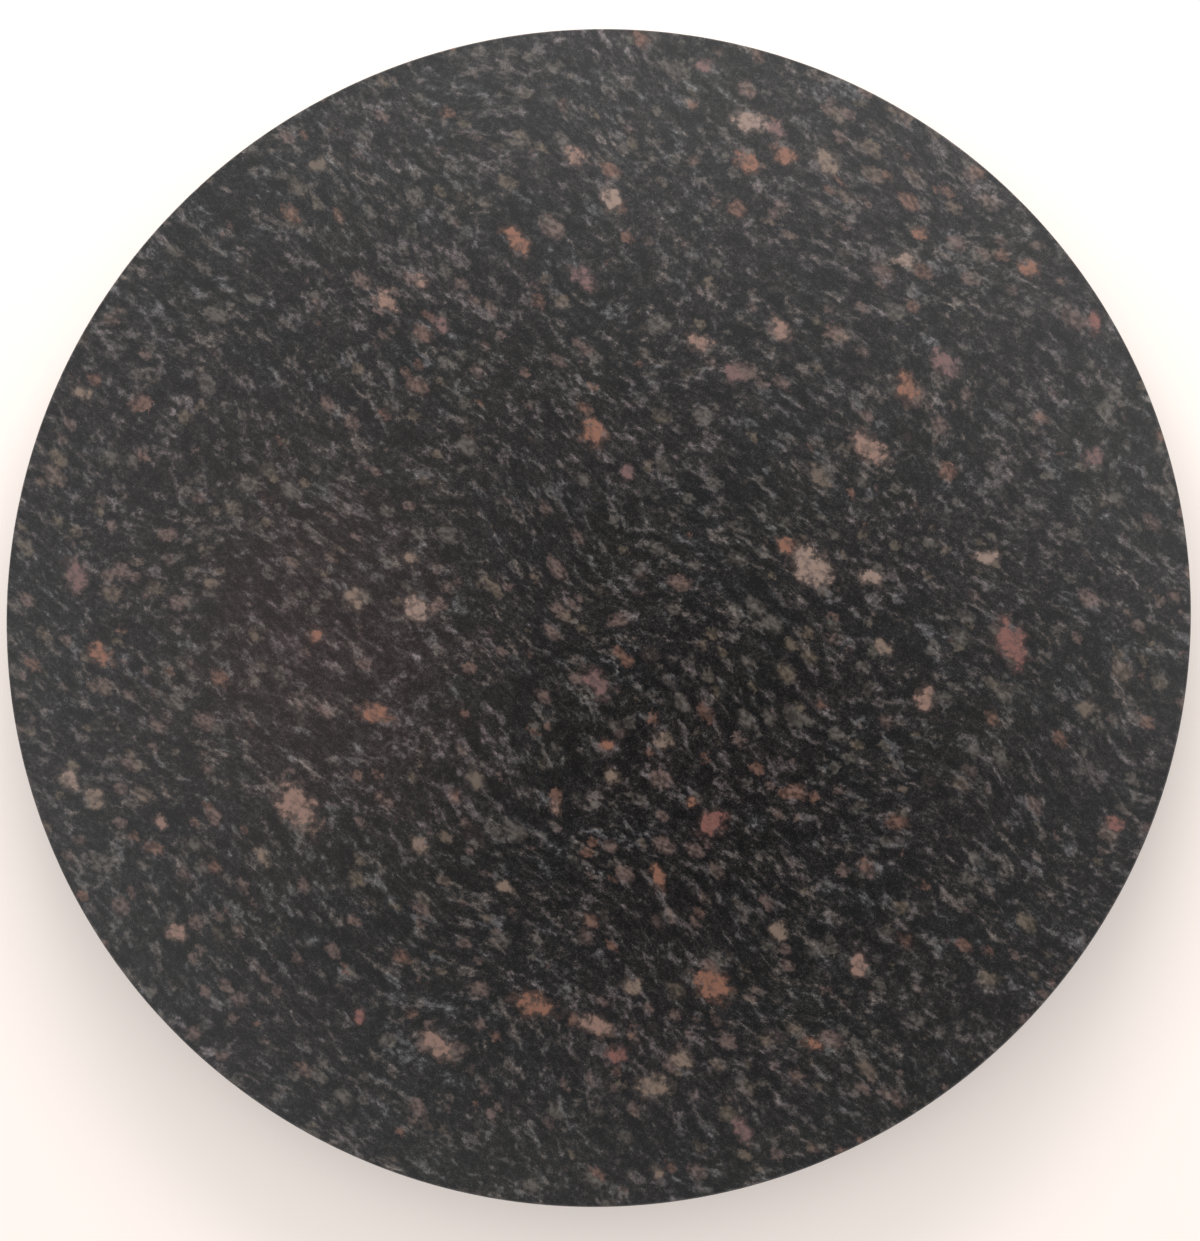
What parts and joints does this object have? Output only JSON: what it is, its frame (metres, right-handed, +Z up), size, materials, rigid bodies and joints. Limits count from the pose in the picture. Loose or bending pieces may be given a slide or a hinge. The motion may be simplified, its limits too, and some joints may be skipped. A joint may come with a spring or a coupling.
{
  "type": "granite slab",
  "caption": "Round polished stone slab on rubber bumper feet, a hard flat surface for tooling, punching and skiving leather.",
  "frame": {"origin": "centre of the circle of feet, at the level of their soles, directly below the centre of the stone disc", "axes": "+Z up through the polished face, -Y the front, +X to the right as seen from the front"},
  "size_m": [0.3, 0.3, 0.0272],
  "materials": {
    "polished_granite": "polished",
    "foot_rubber": "matte",
    "adhesive_tape": "matte"
  },
  "bodies": {
    "root": {"granite_slab": "polished_granite", "foot_front_left": "foot_rubber", "foot_front_right": "foot_rubber", "foot_back_left": "foot_rubber", "foot_back_right": "foot_rubber", "foot_tape_front_left": "adhesive_tape", "foot_tape_front_right": "adhesive_tape", "foot_tape_back_left": "adhesive_tape", "foot_tape_back_right": "adhesive_tape"}
  },
  "joints": []
}
